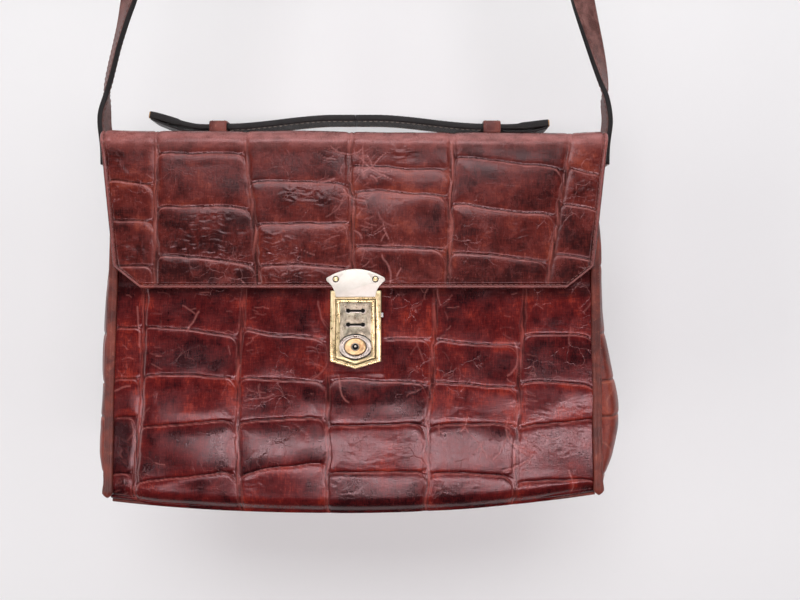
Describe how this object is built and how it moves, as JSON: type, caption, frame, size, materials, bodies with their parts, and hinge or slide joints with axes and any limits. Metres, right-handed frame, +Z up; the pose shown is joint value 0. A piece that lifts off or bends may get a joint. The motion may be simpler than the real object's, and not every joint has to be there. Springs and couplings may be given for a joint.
{
  "type": "flap-over satchel bag",
  "caption": "Flat flap-over leather satchel on a shoulder strap, with a sliding top handle and a push-button key lock with a fan-shaped hasp.",
  "frame": {"origin": "underside of the shoulder strap's arch at its middle, where a peg or a shoulder holds it", "axes": "+Z up along the strap, +X to the right seen from the front, +Y from the front to the back"},
  "size_m": [0.3714, 0.0615, 0.7866],
  "materials": {
    "oxblood": "glossy crocodile-embossed oxblood leather",
    "brown_edge": "smooth reddish brown leather edges",
    "strap_leather": "grained brown-red strap leather with two stitch lines",
    "edge_paint": "dark painted leather edge",
    "lining": "tan woven lining",
    "board": "fibre board",
    "brass": "worn polished brass",
    "pale_brass": "worn nickel over brass, satin",
    "steel": "plain zinc-plated steel"
  },
  "bodies": {
    "strap": {"shoulder_strap": "strap_leather", "strap_rivet_left": "brass", "strap_rivet_right": "brass", "strap_washer_left": "edge_paint", "strap_washer_right": "edge_paint"},
    "flap_top": {"flap_top_panel": "oxblood", "flap_top_lining": "lining", "handle_keeper_left": "brown_edge", "handle_keeper_right": "brown_edge"},
    "flap_front": {"flap_front_panel": "oxblood", "flap_front_lining": "lining", "hasp_plate": "pale_brass", "hasp_tongue": "steel", "hasp_backplate": "steel", "hasp_rivet_left": "brass", "hasp_rivet_right": "brass"},
    "handle_grip": {"handle_grip": "strap_leather"},
    "handle_end_left": {"handle_end_left": "strap_leather"},
    "handle_end_right": {"handle_end_right": "strap_leather"},
    "button": {"lock_button": "brass"},
    "key": {"key_barrel": "brass"},
    "latch": {"latch_slider": "steel"},
    "bag": {"front_panel": "oxblood", "front_lining": "lining", "back_panel": "oxblood", "back_lining": "lining", "left_gusset": "brown_edge", "right_gusset": "brown_edge", "left_gusset_lining": "lining", "right_gusset_lining": "lining", "front_left_piping": "brown_edge", "front_right_piping": "brown_edge", "back_left_piping": "brown_edge", "back_right_piping": "brown_edge", "base_panel": "oxblood", "base_stiffener": "board", "base_lining": "lining", "divider": "lining", "slip_pocket": "lining", "front_top_binding": "brown_edge", "lock_case": "brass", "lock_faceplate": "pale_brass", "button_ring": "brass", "lock_backplate": "steel", "lock_stud_1": "brass", "lock_stud_2": "brass", "lock_stud_3": "brass", "lock_stud_4": "brass", "latch_spring": "steel", "button_spring": "steel"}
  },
  "joints": [
    {"name": "strap_swing", "type": "hinge", "parent": "strap", "child": "bag", "pos_m": [0, -0.004, -0.534], "axis": [-1, 0, 0], "range_deg": [-30, 30]},
    {"name": "flap_lift", "type": "hinge", "parent": "bag", "child": "flap_top", "pos_m": [0, 0.01304, -0.51958], "axis": [-1, 0, 0], "range_deg": [0, 85]},
    {"name": "flap_fold", "type": "hinge", "parent": "flap_top", "child": "flap_front", "pos_m": [0, -0.01777, -0.51998], "axis": [-1, 0, 0], "range_deg": [0, 85]},
    {"name": "handle_lift", "type": "slide", "parent": "flap_top", "child": "handle_grip", "axis": [0, 0, 1], "range_m": [0, 0.06]},
    {"name": "handle_slide_left", "type": "slide", "parent": "flap_top", "child": "handle_end_left", "axis": [1, 0, 0], "range_m": [0, 0.018]},
    {"name": "handle_slide_right", "type": "slide", "parent": "flap_top", "child": "handle_end_right", "axis": [-1, 0, 0], "range_m": [0, 0.018]},
    {"name": "button_press", "type": "slide", "parent": "bag", "child": "button", "axis": [0, 0.9982, -0.0599], "range_m": [0, 0.002], "stiffness_N_per_m": 300, "deforming": ["button_spring"]},
    {"name": "latch_release", "type": "slide", "parent": "bag", "child": "latch", "axis": [1, 0, 0], "range_m": [0, 0.001], "deforming": ["latch_spring"]},
    {"name": "key_turn", "type": "hinge", "parent": "button", "child": "key", "pos_m": [0.0015, -0.02848, -0.66758], "axis": [0, 0.9982, -0.0599], "range_deg": [0, 90]}
  ],
  "couplings": [
    {"joint": "handle_slide_left", "follows": "handle_lift", "ratio": 0.3},
    {"joint": "handle_slide_right", "follows": "handle_lift", "ratio": 0.3},
    {"joint": "latch_release", "follows": "button_press", "ratio": 0.5}
  ]
}
